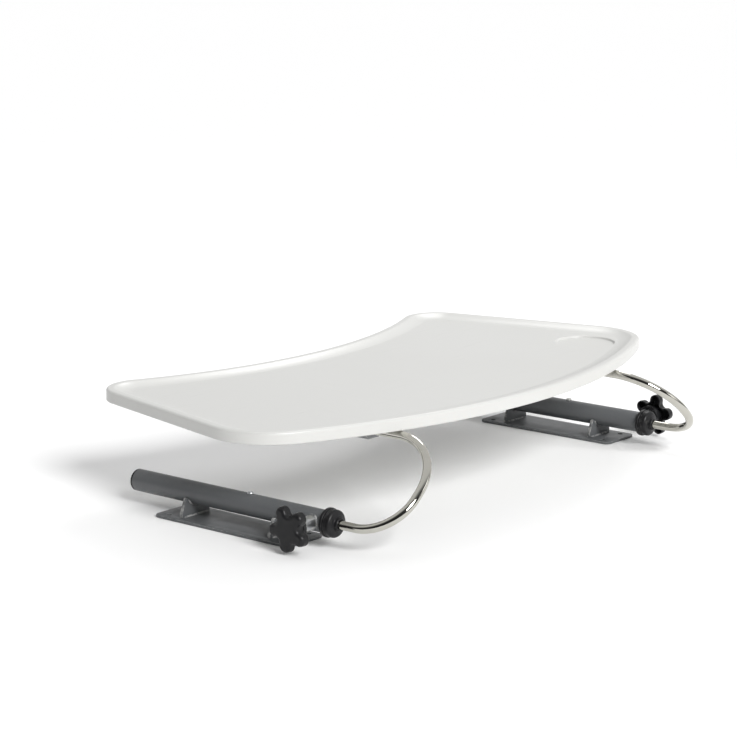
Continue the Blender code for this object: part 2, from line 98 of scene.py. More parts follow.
# Tray outline and section
TRAY_DEPTH = 336 * MM
FRONT_RADIUS = 720 * MM
BACK_RADIUS = 575 * MM
FRONT_WIDTH = 751.5 * MM            # between the front corners before rounding
BACK_WIDTH = 598 * MM
FRONT_CORNER = 75 * MM
BACK_CORNER = 45 * MM
WALL = 3.5 * MM
RIM_FOOT_ROUND = 1 * MM
CUP_CENTRE = (284 * MM, FRONT_EDGE_Y + 131 * MM)
CUP_LIP = 38.6 * MM

# Rods
ROD_RADIUS = 5 * MM
LOWER_BEND = 50 * MM
UPPER_BEND = 68 * MM
BEND_LINK = 7 * MM
BEND_TILT = math.radians(40)
BEND_START_Y = FRONT_EDGE_Y + 16.6 * MM
LOWER_END_Y = FRONT_EDGE_Y + 288 * MM

# Sockets and clamps
TUBE_RADIUS = 12.5 * MM
TUBE_BORE = 11 * MM
BUSH_BORE = ROD_RADIUS + GAP
BUSH_BODY = TUBE_BORE - GAP
BUSH_LENGTH = 30 * MM
STUD_RADIUS = 4 * MM
STUD_HOLE = STUD_RADIUS + GAP
LOBES = 5
LOBE_RADIUS = 7.5 * MM
LOBE_CENTRE = 18.5 * MM
VALLEY_REACH = 16 * MM
FIRST_LOBE = {"right": math.radians(63), "left": math.radians(27)}  # from +Y towards +Z


# ---------------------------------------------------------------- camera, light and floor

def make_camera():
    """Above and outside the right armrest's front, looking back across the tray."""
    azimuth, elevation = math.radians(-50.4), math.radians(11.99)
    target = Vector((-117.26, -29.85, 151.74)) * MM
    distance = 2810.9 * MM
    away = Vector((math.sin(azimuth) * math.cos(elevation), -math.cos(azimuth) * math.cos(elevation),
                   math.sin(elevation)))
    data = bpy.data.cameras.new("camera")
    data.lens = 121.59
    camera = bpy.data.objects.new("camera", data)
    camera.location = target + away * distance
    camera.rotation_euler = (math.pi / 2 - elevation, 0, azimuth)
    bpy.context.scene.collection.objects.link(camera)
    bpy.context.scene.camera = camera


def make_softbox(name, place, aim, size, power):
    data = bpy.data.lights.new(name, "AREA")
    data.shape = "RECTANGLE"
    data.size, data.size_y = size
    data.energy = power
    light = bpy.data.objects.new(name, data)
    light.location = place
    light.rotation_euler = (Vector(aim) - Vector(place)).to_track_quat("-Z", "Y").to_euler()
    bpy.context.scene.collection.objects.link(light)


def make_studio():
    """A pale floor, three soft lights, and a room that is bright above and behind the tray only."""
    scene = bpy.context.scene
    scene.view_settings.view_transform = "Standard"
    world = bpy.data.worlds.new("room")
    scene.world = world
    world.use_nodes = True
    nodes, links = world.node_tree.nodes, world.node_tree.links
    background = nodes["Background"]
    direction = nodes.new("ShaderNodeTexCoord")
    towards = nodes.new("ShaderNodeVectorMath")
    towards.operation = "DOT_PRODUCT"
    towards.inputs[1].default_value = (0.55, 0.46, 0.70)
    ramp = nodes.new("ShaderNodeValToRGB")
    links.new(direction.outputs["Generated"], towards.inputs[0])
    links.new(towards.outputs["Value"], ramp.inputs[0])
    links.new(ramp.outputs[0], background.inputs["Color"])
    shades = ((0.0, 0.04), (0.1, 0.06), (0.3, 0.30), (0.42, 0.62), (0.55, 0.95), (0.8, 1.0))
    while len(ramp.color_ramp.elements) < len(shades):
        ramp.color_ramp.elements.new(0.5)
    for element, (nearness, shade) in zip(ramp.color_ramp.elements, shades):
        element.position = nearness
        element.color = (shade, shade, shade, 1)
    background.inputs["Strength"].default_value = 0.76

    sun = bpy.data.lights.new("high_light", "SUN")
    sun.energy = 3.15
    sun.angle = math.radians(24)
    high = bpy.data.objects.new("high_light", sun)
    high.rotation_euler = Vector((0.35, 1, -0.7)).to_track_quat("-Z", "Y").to_euler()
    scene.collection.objects.link(high)
    make_softbox("key", (1.5, -2.5, 0.9), (0, 0, 0.1), (1.5, 0.9), 7)
    make_softbox("back_right", (1.4, 0.75, 1.6), (0, 0, 0.12), (0.7, 0.7), 7.5)

    bm = bmesh.new()
    bmesh.ops.create_grid(bm, x_segments=1, y_segments=1, size=14)
    mesh = bpy.data.meshes.new("floor")
    bm.to_mesh(mesh)
    bm.free()
    floor = bpy.data.objects.new("floor", mesh)
    floor.location.z = -0.2 * MM    # just under the plates' undersides
    scene.collection.objects.link(floor)
    paper = bpy.data.materials.new("pale_paper")
    paper.use_nodes = True
    shader = paper.node_tree.nodes["Principled BSDF"]
    shader.inputs["Base Color"].default_value = (0.97, 0.97, 0.97, 1)
    shader.inputs["Roughness"].default_value = 0.9
    shader.inputs["Specular IOR Level"].default_value = 0.1
    mesh.materials.append(paper)


# ---------------------------------------------------------------- finishes

class Finish:
    """A material on the piece's own coordinates, built up from a shade, a roughness and a relief."""

    def __init__(self, name, colour, roughness, metallic=0.0):
        self.material = bpy.data.materials.new(name)
        self.material.use_nodes = True
        self.nodes = self.material.node_tree.nodes
        self.links = self.material.node_tree.links
        self.shader = self.nodes["Principled BSDF"]
        self.shader.inputs["Base Color"].default_value = (*colour, 1)
        self.shader.inputs["Roughness"].default_value = roughness
        self.shader.inputs["Metallic"].default_value = metallic
        self.place = self.nodes.new("ShaderNodeTexCoord").outputs["Object"]
        self.colour = None
        self.relief = None

    def add(self, kind, **settings):
        """A new node; settings are its own properties, or its inputs by name with _ for a space."""
        node = self.nodes.new("ShaderNode" + kind)
        for name, value in settings.items():
            if hasattr(node, name):
                setattr(node, name, value)
            else:
                node.inputs[name.replace("_", " ")].default_value = value
        return node

    def stretched(self, scale=(1, 1, 1), turn=(0, 0, 0), shift=(0, 0, 0), source=None):
        mapping = self.add("Mapping", Scale=scale, Rotation=turn, Location=shift)
        self.links.new(source or self.place, mapping.inputs["Vector"])
        return mapping.outputs[0]

    def noise(self, size, detail=3.0, rough=0.5, source=None):
        """Cloudy pattern whose blotches are about size across."""
        texture = self.add("TexNoise", Scale=0.5 / size, Detail=detail, Roughness=rough)
        self.links.new(source or self.place, texture.inputs["Vector"])
        return texture.outputs["Fac"]

    def graded(self, pattern, *stops):
        """A pattern put through a ramp of (position, shade) stops; a shade is a number or a colour."""
        ramp = self.add("ValToRGB")
        while len(ramp.color_ramp.elements) < len(stops):
            ramp.color_ramp.elements.new(0.5)
        for element, (position, shade) in zip(ramp.color_ramp.elements, stops):
            element.position = position
            element.color = (*shade, 1) if isinstance(shade, tuple) else (shade, shade, shade, 1)
        self.links.new(pattern, ramp.inputs[0])
        return ramp.outputs[0]

    def tint(self, amount, colour):
        """Lay a colour over the shade so far, by a pattern that says how much."""
        mix = self.add("Mix", data_type="RGBA")
        if self.colour is None:
            mix.inputs[MIX_A].default_value = self.shader.inputs["Base Color"].default_value
        else:
            self.links.new(self.colour, mix.inputs[MIX_A])
        mix.inputs[MIX_B].default_value = (*colour, 1)
        self.links.new(amount, mix.inputs[0])
        self.colour = mix.outputs[MIX_RESULT]
        self.links.new(self.colour, self.shader.inputs["Base Color"])

    def gloss(self, pattern, smoothest, dullest):
        """Roughness that follows a pattern between two values."""
        spread = self.add("MapRange", To_Min=smoothest, To_Max=dullest)
        self.links.new(pattern, spread.inputs["Value"])
        self.links.new(spread.outputs[0], self.shader.inputs["Roughness"])

    def raise_by(self, pattern, height):
        """Relief of a real height, laid over the relief so far."""
        bump = self.add("Bump", Strength=1.0, Distance=height)
        self.links.new(pattern, bump.inputs["Height"])
        if self.relief is not None:
            self.links.new(self.relief, bump.inputs["Normal"])
        self.relief = bump.outputs[0]
        self.links.new(self.relief, self.shader.inputs["Normal"])

    def edges(self):
        """1 on the outer edges that mark_outer_edges marked, 0 elsewhere, broken up by a fine pattern."""
        rim = self.add("Attribute", attribute_name="outer_edge").outputs["Fac"]
        broken = self.graded(self.noise(2.5 * MM, 5), (0.38, 0.0), (0.66, 1.0))
        product = self.add("Math", operation="MULTIPLY")
        self.links.new(rim, product.inputs[0])
        self.links.new(broken, product.inputs[1])
        return product.outputs[0]


def white_tray_plastic():
    """Satin moulded sheet: a fine even grain, faint clouding, and hairline scuffs in the gloss."""
    finish = Finish("white_tray_plastic", (0.61, 0.61, 0.592), 0.34)
    clouds = finish.noise(140 * MM, 2)
    finish.tint(finish.graded(clouds, (0.42, 0.0), (0.7, 0.35)), (0.565, 0.563, 0.54))
    specks = finish.graded(finish.noise(1.3 * MM, 2), (0.66, 0.0), (0.74, 0.22))
    finish.tint(specks, (0.50, 0.495, 0.475))
    across = finish.stretched(scale=(1, 14, 1), turn=(0, 0, math.radians(24)))
    along = finish.stretched(scale=(12, 1, 1), turn=(0, 0, math.radians(-11)))
    scuffs = finish.add("Math", operation="MAXIMUM")
    finish.links.new(finish.graded(finish.noise(42 * MM, 6, 0.7, across), (0.60, 0.0), (0.70, 1.0)),
                     scuffs.inputs[0])
    finish.links.new(finish.graded(finish.noise(60 * MM, 6, 0.7, along), (0.62, 0.0), (0.71, 0.8)),
                     scuffs.inputs[1])
    finish.gloss(scuffs.outputs[0], 0.31, 0.43)
    finish.raise_by(finish.noise(9 * MM, 1), 0.02 * MM)
    finish.raise_by(finish.noise(0.9 * MM, 3), 0.012 * MM)
    finish.shader.inputs["IOR"].default_value = 1.5
    return finish.material


def rod_chrome():
    """Bright nickel-chrome: drawn lines along the bar, polishing swirls, and a slight haze."""
    finish = Finish("rod_chrome", (0.56, 0.548, 0.50), 0.07, 1.0)
    run = finish.add("Attribute", attribute_name="run").outputs["Vector"]
    drawn = finish.noise(0.7 * MM, 4, 0.6, finish.stretched(scale=(1, 1, 0.02), source=run))
    haze = finish.noise(16 * MM, 4, 0.6, run)
    finish.tint(finish.graded(haze, (0.5, 0.0), (0.75, 0.6)), (0.46, 0.445, 0.395))
    blend = finish.add("Math", operation="MULTIPLY")
    finish.links.new(drawn, blend.inputs[0])
    finish.links.new(haze, blend.inputs[1])
    finish.gloss(blend.outputs[0], 0.035, 0.17)
    finish.raise_by(drawn, 0.0016 * MM)
    return finish.material


def black_moulded_plastic():
    """Satin black nylon: spark-textured skin, dust in the grain, and edges rubbed smoother and greyer."""
    finish = Finish("black_moulded_plastic", (0.010, 0.010, 0.011), 0.38)
    dust = finish.graded(finish.noise(5 * MM, 5, 0.6), (0.45, 0.0), (0.8, 0.6))
    finish.tint(dust, (0.017, 0.017, 0.018))
    worn = finish.edges()
    finish.tint(worn, (0.042, 0.042, 0.043))
    finish.gloss(finish.noise(3 * MM, 4), 0.28, 0.46)
    finish.raise_by(finish.noise(2.6 * MM, 2), 0.02 * MM)
    finish.raise_by(finish.noise(0.35 * MM, 2), 0.012 * MM)
    finish.shader.inputs["Specular IOR Level"].default_value = 0.27
    return finish.material


def grey_saddle_nylon():
    """Glass-filled nylon: pale flow streaks, a dry sheen and a pitted skin."""
    finish = Finish("grey_saddle_nylon", (0.255, 0.262, 0.27), 0.5)
    flow = finish.noise(6 * MM, 4, 0.65, finish.stretched(scale=(1, 0.18, 1)))
    finish.tint(finish.graded(flow, (0.48, 0.0), (0.72, 0.6)), (0.33, 0.335, 0.34))
    finish.tint(finish.edges(), (0.40, 0.405, 0.41))
    finish.gloss(flow, 0.42, 0.62)
    finish.raise_by(finish.noise(0.5 * MM, 3), 0.015 * MM)
    return finish.material


def armrest_powder_coat():
    """Dark grey powder coat: orange peel, a fine sparkle of grit, and bare steel at knocked edges."""
    finish = Finish("armrest_powder_coat", (0.105, 0.11, 0.115), 0.46)
    grit = finish.graded(finish.noise(0.6 * MM, 2), (0.55, 0.0), (0.75, 0.6))
    finish.tint(grit, (0.15, 0.155, 0.16))
    chips = finish.edges()
    finish.tint(chips, (0.42, 0.42, 0.41))
    finish.gloss(finish.noise(7 * MM, 3), 0.38, 0.56)
    finish.raise_by(finish.noise(1.6 * MM, 1), 0.05 * MM)
    finish.raise_by(finish.noise(0.4 * MM, 2), 0.012 * MM)
    return finish.material


def zinc_plate():
    """Bright zinc: cloudy blue and straw passivation over fine turning lines."""
    finish = Finish("zinc_plate", (0.60, 0.615, 0.63), 0.3, 1.0)
    clouds = finish.noise(4 * MM, 3)
    finish.tint(finish.graded(clouds, (0.45, 0.0), (0.68, 0.7)), (0.66, 0.64, 0.56))
    finish.tint(finish.graded(finish.noise(2 * MM, 3), (0.5, 0.0), (0.7, 0.5)), (0.50, 0.54, 0.60))
    finish.gloss(finish.noise(0.8 * MM, 4), 0.22, 0.46)
    finish.raise_by(finish.noise(0.25 * MM, 3), 0.006 * MM)
    return finish.material


def turned_brass():
    """Turned brass: rings round the clamp's axis and a light tarnish."""
    finish = Finish("turned_brass", (0.71, 0.52, 0.23), 0.26, 1.0)
    axis = finish.stretched(shift=(0, -KNOB_Y, -SOCKET_Z))
    rings = finish.add("TexWave", wave_type="RINGS", rings_direction="X", Scale=1 / (1.2 * MM),
                       Distortion=0.4)
    finish.links.new(axis, rings.inputs["Vector"])
    tarnish = finish.noise(1.5 * MM, 4)
    finish.tint(finish.graded(tarnish, (0.45, 0.0), (0.75, 0.8)), (0.42, 0.29, 0.12))
    finish.gloss(tarnish, 0.2, 0.42)
    finish.raise_by(rings.outputs["Fac"], 0.012 * MM)
    return finish.material


def dipped_vinyl():
    """Soft black vinyl: a slumped, slightly uneven skin with pale bloom."""
    finish = Finish("dipped_vinyl", (0.026, 0.026, 0.027), 0.5)
    bloom = finish.noise(4 * MM, 4)
    finish.tint(finish.graded(bloom, (0.5, 0.0), (0.8, 0.7)), (0.06, 0.06, 0.062))
    finish.gloss(bloom, 0.42, 0.62)
    finish.raise_by(finish.noise(3 * MM, 2), 0.05 * MM)
    return finish.material


FINISHES = {
    "white_plastic": white_tray_plastic(),
    "chrome": rod_chrome(),
    "black_plastic": black_moulded_plastic(),
    "grey_nylon": grey_saddle_nylon(),
    "coated_steel": armrest_powder_coat(),
    "zinc_steel": zinc_plate(),
    "brass": turned_brass(),
    "black_vinyl": dipped_vinyl(),
}
SLOT_OF = {part["node"]: part["material_slot"] for part in frame["record"]["subparts"]}


# ---------------------------------------------------------------- making and handing over pieces

def to_mesh(bm, name, crease=CREASE):
    """Merge doubles, point the faces outwards and shade smooth up to the crease angle."""
    bmesh.ops.remove_doubles(bm, verts=bm.verts, dist=WELD)
    bmesh.ops.recalc_face_normals(bm, faces=bm.faces)
    mesh = bpy.data.meshes.new(name)
    bm.to_mesh(mesh)
    bm.free()
    mesh.shade_smooth()
    mesh.set_sharp_from_angle(angle=math.radians(crease))
    return mesh


def mark_outer_edges(mesh):
    """Mark the points of tight outward edges, where handling rubs."""
    tight, nearly_flat, long = math.radians(20), math.radians(4), 2.5 * MM
    bm = bmesh.new()
    bm.from_mesh(mesh)
    mark = bm.verts.layers.float.new("outer_edge")
    for edge in bm.edges:
        if edge.is_convex and edge.calc_face_angle(0) > tight:
            for vert in edge.verts:
                vert[mark] = 1
    for edge in [edge for edge in bm.edges if edge.calc_length() > long]:
        # a worn point at one end would draw a trail along the face
        ends = edge.verts
        if ends[0][mark] != ends[1][mark]:
            ends[0][mark] = ends[1][mark] = 0
        if edge.calc_face_angle(1) < nearly_flat:
            for face in edge.link_faces:
                for vert in face.verts:
                    vert[mark] = 0
    bm.to_mesh(mesh)
    bm.free()


def hand_over(mesh, name, slot, body):
    """Show a mesh as a piece that rides on a body."""
    mark_outer_edges(mesh)
    mesh.materials.clear()
    mesh.materials.append(FINISHES[slot])
    piece = bpy.data.objects.new(name, mesh)
    bpy.context.scene.collection.objects.link(piece)
    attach(piece, body)
    return piece


def stand_for(node, mesh):
    """Show a mesh in place of a CAD node, on its body and in its finish."""
    piece = hand_over(mesh, node + "_detailed", SLOT_OF[node], frame["nodes"][node]["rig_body"])
    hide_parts(node)


def carve(mesh, tools, operation="DIFFERENCE"):
    """Cut closed tool meshes out of a closed mesh, or join them to it."""
    body = bpy.data.objects.new("carved", mesh)
    helpers = [body]
    bpy.context.scene.collection.objects.link(body)
    for tool in tools:
        helper = bpy.data.objects.new("tool", tool)
        bpy.context.scene.collection.objects.link(helper)
        helpers.append(helper)
        cut = body.modifiers.new("cut", "BOOLEAN")
        cut.operation = operation
        cut.object = helper
    evaluated = body.evaluated_get(bpy.context.evaluated_depsgraph_get())
    result = bpy.data.meshes.new_from_object(evaluated)
    for helper in helpers:
        bpy.data.objects.remove(helper)
    result.shade_smooth()
    result.set_sharp_from_angle(angle=math.radians(CREASE))
    return result


def arc(centre, radius, start, end, steps):
    """Points on a flat arc, both ends included; angles in degrees."""
    angles = [math.radians(start + (end - start) * i / steps) for i in range(steps + 1)]
    return [(centre[0] + radius * math.cos(a), centre[1] + radius * math.sin(a)) for a in angles]


def facing_front(centre):
    """Stands a piece made along +Z at centre, with its +Z to the front."""
    return Matrix.Translation(centre) @ Matrix.Rotation(math.pi / 2, 4, "X")


def socket_point(sign, y):
    return Vector((sign * SOCKET_X, y, SOCKET_Z))


def clamp_axis(sign, spin=0.0):
    """Stands a piece made along +Z on the clamp's axis, with its +Z to the outside of that armrest."""
    return (Matrix.Translation(socket_point(sign, KNOB_Y)) @ Matrix.Rotation(sign * math.pi / 2, 4, "Y")
            @ Matrix.Rotation(spin, 4, "Z"))


def turned(profile, soften=0.0, steps=96):
    """Spin (radius, height) points round Z and soften the sharp rings; a profile off the axis closes."""
    bm = bmesh.new()
    points = [bm.verts.new((radius, 0, height)) for radius, height in profile]
    chain = [bm.edges.new(pair) for pair in zip(points, points[1:])]
    if profile[0][0] > 0:
        chain.append(bm.edges.new((points[-1], points[0])))
    bmesh.ops.spin(bm, geom=points + chain, cent=(0, 0, 0), axis=(0, 0, 1), angle=2 * math.pi, steps=steps,
                   use_merge=True)
    bmesh.ops.remove_doubles(bm, verts=bm.verts, dist=WELD)
    bmesh.ops.recalc_face_normals(bm, faces=bm.faces)
    if soften:
        rings = [edge for edge in bm.edges if is_sharp_ring(edge)]
        bmesh.ops.bevel(bm, geom=rings, offset=soften, segments=3, profile=0.5, affect="EDGES", material=-1)
    return bm


def is_sharp_ring(edge):
    low, high = (vert.co for vert in edge.verts)
    level = abs(low.z - high.z) < WELD and abs(low.xy.length - high.xy.length) < WELD
    return level and edge.calc_face_angle(0) > math.radians(25)


def step_in(bm, face, inset, rise):
    """Grow a ring inside a level face, and move the face by rise along Z."""
    face.normal_update()
    depth = rise if face.normal.z > 0 else -rise
    bmesh.ops.inset_individual(bm, faces=[face], thickness=inset, depth=depth, use_even_offset=True)


def follow(bm, face, stations):
    """Step a level face through (offset, height) stations; the first says where it is now."""
    for (offset, height), (next_offset, next_height) in zip(stations, stations[1:]):
        step_in(bm, face, next_offset - offset, next_height - height)


def pierce(bm, face, loops):
    """Fill a level face again round closed loops of edges that lie in it."""
    rims = list(face.edges)
    normal = face.normal.copy()
    bmesh.ops.delete(bm, geom=[face], context="FACES_ONLY")
    for loop in loops:
        rims += loop
    bmesh.ops.triangle_fill(bm, use_beauty=True, use_dissolve=False, edges=rims, normal=normal)


def level_disc(bm, centre, radius, segments=64):
    """A round face at (x, y, z)."""
    made = bmesh.ops.create_circle(bm, cap_ends=True, segments=segments, radius=radius,
                                   matrix=Matrix.Translation(centre))
    return made["verts"][0].link_faces[0]


def level_pad(bm, centre, size, corner):
    """A rectangular face with round corners at (x, y, z)."""
    matrix = Matrix.Translation(centre) @ Matrix.Diagonal((size[0] / 2, size[1] / 2, 1, 1))
    made = bmesh.ops.create_grid(bm, x_segments=1, y_segments=1, size=1, matrix=matrix)
    rounded = bmesh.ops.bevel(bm, geom=made["verts"], offset=corner, segments=6, profile=0.5,
                              affect="VERTICES", material=-1)
    return rounded["verts"][0].link_faces[0]


def slab(outline, thickness, edge, holes=()):
    """A flat piece between Z = -thickness/2 and +thickness/2, with (x, y, radius) holes and soft rims."""
    bm = bmesh.new()
    face = bm.faces.new([bm.verts.new((x, y, -thickness / 2)) for x, y in outline])
    face.normal_update()
    if holes:
        discs = [level_disc(bm, (x, y, -thickness / 2), radius, 32) for x, y, radius in holes]
        loops = [list(disc.edges) for disc in discs]
        bmesh.ops.delete(bm, geom=discs, context="FACES_ONLY")
        pierce(bm, face, loops)
    swept = bmesh.ops.extrude_face_region(bm, geom=bm.faces[:])
    bmesh.ops.translate(bm, verts=new_verts(swept["geom"]), vec=(0, 0, thickness))
    bmesh.ops.recalc_face_normals(bm, faces=bm.faces)
    rims = [e for e in bm.edges
            if abs(e.verts[0].co.z - e.verts[1].co.z) < WELD and e.calc_face_angle(0) > math.radians(60)]
    bmesh.ops.bevel(bm, geom=rims, offset=edge, segments=3, profile=0.5, affect="EDGES", material=-1)
    return bm


def bar(radius, length, segments=32):
    """A plain closed cylinder along Z from 0, used as a drill."""
    bm = bmesh.new()
    bmesh.ops.create_cone(bm, cap_ends=True, segments=segments, radius1=radius, radius2=radius,
                          depth=length, matrix=Matrix.Translation((0, 0, length / 2)))
    return bm


def new_verts(made):
    """The points among the geometry that an operator returns."""
    return [item for item in made if isinstance(item, bmesh.types.BMVert)]


def two_faces(bm, face, gap):
    """Split a level face into an upper one and a lower one, gap apart and joined by a wall."""
    made = bmesh.ops.extrude_face_region(bm, geom=[face])["geom"]
    other = [item for item in made if isinstance(item, bmesh.types.BMFace)][0]
    bmesh.ops.translate(bm, verts=other.verts, vec=(0, 0, gap))
    bmesh.ops.recalc_face_normals(bm, faces=bm.faces)
    return (other, face) if other.normal.z > 0 else (face, other)


def placed(bm, matrix, name="tool", crease=CREASE):
    """The finished mesh of bm, put where matrix says."""
    bmesh.ops.transform(bm, matrix=matrix, verts=bm.verts)
    return to_mesh(bm, name, crease)


def threaded(crest, root, pitch, start, end, steps=24):
    """A helical thread along Z, cut square at both ends and narrowed at its start."""
    bm = bmesh.new()
    flat = pitch / 8
    tooth = [(root, 0), (crest, pitch / 2 - flat), (crest, pitch / 2), (root, pitch - flat), (root, pitch)]
    run_in = 1.37 * pitch               # no ring of points may fall just where an end is cut
    points = [bm.verts.new((radius, 0, start - run_in + height)) for radius, height in tooth]
    chain = [bm.edges.new(pair) for pair in zip(points, points[1:])]
    turns = math.ceil((end - start) / pitch) + 3
    bmesh.ops.spin(bm, geom=points + chain, cent=(0, 0, 0), axis=(0, 0, 1), dvec=(0, 0, pitch / steps),
                   angle=2 * math.pi * turns, steps=steps * turns)
    bmesh.ops.remove_doubles(bm, verts=bm.verts, dist=WELD)
    for height, beyond in ((start, -1), (end, 1)):
        cut = bmesh.ops.bisect_plane(bm, geom=bm.verts[:] + bm.edges[:] + bm.faces[:],
                                     plane_co=(0, 0, height), plane_no=(0, 0, beyond), clear_outer=True)
        rim = [item for item in cut["geom_cut"] if isinstance(item, bmesh.types.BMEdge)]
        bmesh.ops.holes_fill(bm, edges=rim)
    narrowed = 0.78
    for vert in bm.verts:
        turns_in = (vert.co.z - start) / pitch
        if turns_in < 1:
            vert.co.xy *= narrowed + (1 - narrowed) * turns_in
    return bm


# ---------------------------------------------------------------- tray

def fillet_centre(line_point, line_direction, circle_y, distance):
    """Where a line meets the circle of that radius round (0, circle_y), nearest the line's own point."""
    offset = line_point - Vector((0, circle_y))
    along = offset.dot(line_direction)
    root = math.sqrt(along ** 2 - offset.length_squared + distance ** 2)
    ends = [line_point + line_direction * (-along + way * root) for way in (-1, 1)]
    return min(ends, key=lambda point: (point - line_point).length)


def tray_outline(bm, height):
    """The crescent, as one level face: half is spun arc by arc from the front middle, then mirrored."""
    front_y = FRONT_EDGE_Y + FRONT_RADIUS
    back_y = FRONT_EDGE_Y + TRAY_DEPTH + BACK_RADIUS
    half_front, half_back = FRONT_WIDTH / 2, BACK_WIDTH / 2
    front = Vector((half_front, front_y - math.sqrt(FRONT_RADIUS ** 2 - half_front ** 2)))
    back = Vector((half_back, back_y - math.sqrt(BACK_RADIUS ** 2 - half_back ** 2)))
    side = (back - front).normalized()
    outwards = Vector((side.y, -side.x))
    front_corner = fillet_centre(front - outwards * FRONT_CORNER, side, front_y,
                                 FRONT_RADIUS - FRONT_CORNER)
    back_corner = fillet_centre(back - outwards * BACK_CORNER, side, back_y, BACK_RADIUS + BACK_CORNER)
    side_angle = math.atan2(outwards.y, outwards.x)
    front_angle = math.atan2(front_corner.y - front_y, front_corner.x)
    back_angle = math.atan2(back_corner.y - back_y, back_corner.x)

    def swing(vert, centre, turn, steps):
        made = bmesh.ops.spin(bm, geom=[vert], cent=(centre[0], centre[1], height), axis=(0, 0, 1),
                              angle=turn, steps=steps)
        return new_verts(made["geom_last"])[0]

    vert = bm.verts.new((0, FRONT_EDGE_Y, height))
    vert = swing(vert, (0, front_y), front_angle + math.pi / 2, 44)
    vert = swing(vert, front_corner, side_angle - front_angle, 26)
    run = (back_corner - front_corner).dot(side)
    made = bmesh.ops.extrude_vert_indiv(bm, verts=[vert])
    vert = made["verts"][0]
    bmesh.ops.translate(bm, verts=[vert], vec=(side.x * run, side.y * run, 0))
    vert = swing(vert, back_corner, back_angle + math.pi - side_angle, 24)
    swing(vert, (0, back_y), -math.pi / 2 - back_angle, 38)
    bmesh.ops.mirror(bm, geom=bm.verts[:] + bm.edges[:], axis="X", merge_dist=WELD)
    bmesh.ops.remove_doubles(bm, verts=bm.verts, dist=WELD)
    return bmesh.ops.edgeloop_fill(bm, edges=bm.edges)["faces"][0]


def rim_top_stations():
    """From the outer wall over the rounded rim and down a hollow slope to a slight crease at the floor."""
    crown, shoulder, foot = 3.2 * MM, 7 * MM, 5 * MM
    steep, brink = 24, 6
    draft = 0.2 * MM
    stations = [(0, RIM_FOOT + RIM_FOOT_ROUND + SPLIT), (draft, RIM_TOP - crown)]
    stations += arc((draft + crown, RIM_TOP - crown), crown, 180, 90, 8)[1:]
    stations += arc((7.8 * MM, RIM_TOP - shoulder), shoulder, 90, 90 - steep, 6)
    steep_sine, steep_cosine = math.sin(math.radians(steep)), math.cos(math.radians(steep))
    brink_sine, brink_cosine = math.sin(math.radians(brink)), math.cos(math.radians(brink))
    edge, height = stations[-1]
    hollow = (height - FLOOR_TOP - foot * (1 - brink_cosine)) / (brink_cosine - steep_cosine)
    stations += arc((edge + hollow * steep_sine, height + hollow * steep_cosine), hollow, 270 - steep,
                    270 - brink, 12)[1:]
    edge, height = stations[-1]
    stations += arc((edge + foot * brink_sine, height + foot * brink_cosine), foot, 270 - brink, 270, 3)[1:]
    stations.append((stations[-1][0] + 0.2 * MM, FLOOR_TOP + 0.001 * MM))
    return stations


def rim_under_stations():
    """From the outer wall round its foot, up inside it, and under the slope to the floor's underside."""
    foot = RIM_FOOT_ROUND
    stations = [(0, RIM_FOOT + foot)]
    stations += arc((foot, RIM_FOOT + foot), foot, 180, 270, 4)[1:]
    stations += arc((WALL - 0.8 * MM, RIM_FOOT + 0.8 * MM), 0.8 * MM, 270, 360, 4)
    roof = RIM_TOP - WALL
    stations.append((WALL + 0.15 * MM, roof - 1.6 * MM))
    stations += arc((WALL + 1.75 * MM, roof - 1.6 * MM), 1.6 * MM, 180, 90, 5)[1:]
    stations += [(12.4 * MM, roof - 0.02 * MM), (14.5 * MM, roof - 0.35 * MM), (17 * MM, roof - 1.05 * MM),
                 (30 * MM, FLOOR_TOP - WALL + 0.25 * MM), (32.5 * MM, FLOOR_TOP - WALL),
                 (34 * MM, FLOOR_TOP - WALL - 0.001 * MM)]
    return stations


def cup_recess(bm, face):
    """Dish a round face of the floor into a shallow recess with a soft lip."""
    depth = 2.6 * MM
    stations = [(0, FLOOR_TOP), (0.5 * MM, FLOOR_TOP - 0.001 * MM)]
    stations += arc((0.5 * MM, FLOOR_TOP - 1.6 * MM), 1.6 * MM, 90, 22, 5)[1:]
    edge = stations[-1][0]
    bottom = FLOOR_TOP - depth
    stations += arc((edge + 1.8 * MM, bottom + 1.5 * MM), 1.5 * MM, 205, 270, 5)
    stations.append((stations[-1][0] + 1 * MM, bottom - 0.001 * MM))
    follow(bm, face, stations)


def saddle_places():
    for side, sign in SIDES.items():
        for place in ("front", "rear"):
            yield side, sign, place, middle(f"rod_saddle_{side}_{place}").y


def pad_and_holes(bm, face, x, y):
    """Raise a pad under the floor for a saddle, with two blind screw holes."""
    under, foot = FLOOR_TOP - WALL, SADDLE_TOP + GAP
    follow(bm, face, [(0, under), (0.5 * MM, under - 0.25 * MM), (0.8 * MM, under - 0.8 * MM),
                      (0.95 * MM, foot + 0.5 * MM), (1.1 * MM, foot + 0.15 * MM), (1.45 * MM, foot)])
    holes = [level_disc(bm, (x + way * SADDLE_SCREW_SPREAD, y, foot), 2.5 * MM, 24) for way in (-1, 1)]
    pierce(bm, face, [list(hole.edges) for hole in holes])
    for hole in holes:
        step_in(bm, hole, 0.02 * MM, 7 * MM)


